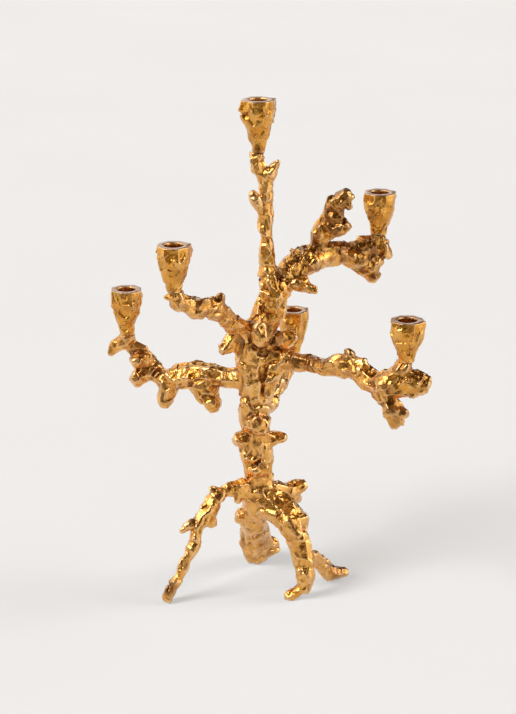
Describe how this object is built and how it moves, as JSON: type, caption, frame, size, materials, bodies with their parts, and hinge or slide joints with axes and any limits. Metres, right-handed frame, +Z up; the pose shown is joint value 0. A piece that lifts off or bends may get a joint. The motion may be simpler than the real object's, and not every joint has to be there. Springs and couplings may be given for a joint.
{
  "type": "tabletop candelabra",
  "caption": "Branching table candelabra like a gnarled tree, with a goblet-shaped cup for a dinner candle at the end of each arm and of its centre stem.",
  "frame": {"origin": "on the table, under the middle of the object's bounding box", "axes": "+Z up, -Y to the front, +X to the viewer's right"},
  "size_m": [0.3816, 0.294, 0.6],
  "materials": {
    "cast_brass": "polished cast surface, crumpled like foil, with soft dark hollows",
    "cup_brass": "polished cast surface outside, turned rim and bore",
    "stud_steel": "plain steel"
  },
  "bodies": {
    "root": {"leg_hub": "cast_brass", "leg_left": "cast_brass", "leg_right": "cast_brass", "leg_rear": "cast_brass", "trunk": "cast_brass", "crown": "cast_brass", "upper_limb": "cast_brass", "centre_stem": "cast_brass", "arm_right_high": "cast_brass", "side_branch": "cast_brass", "arm_left_high": "cast_brass", "arm_left_low": "cast_brass", "arm_right_low": "cast_brass", "arm_rear": "cast_brass", "stud_hub_trunk": "stud_steel", "stud_trunk_crown": "stud_steel", "stud_crown_limb": "stud_steel", "stud_limb_stem": "stud_steel", "stud_limb_arm_right_high": "stud_steel", "stud_arm_side_branch": "stud_steel", "stud_crown_arm_left_high": "stud_steel", "stud_crown_arm_left_low": "stud_steel", "stud_crown_arm_right_low": "stud_steel", "stud_crown_arm_rear": "stud_steel", "stud_hub_leg_left": "stud_steel", "stud_hub_leg_right": "stud_steel", "stud_hub_leg_rear": "stud_steel", "cup_top": "cup_brass", "stud_cup_top": "stud_steel", "cup_right_high": "cup_brass", "stud_cup_right_high": "stud_steel", "cup_left_high": "cup_brass", "stud_cup_left_high": "stud_steel", "cup_left_low": "cup_brass", "stud_cup_left_low": "stud_steel", "cup_right_low": "cup_brass", "stud_cup_right_low": "stud_steel", "cup_rear": "cup_brass", "stud_cup_rear": "stud_steel"}
  },
  "joints": []
}
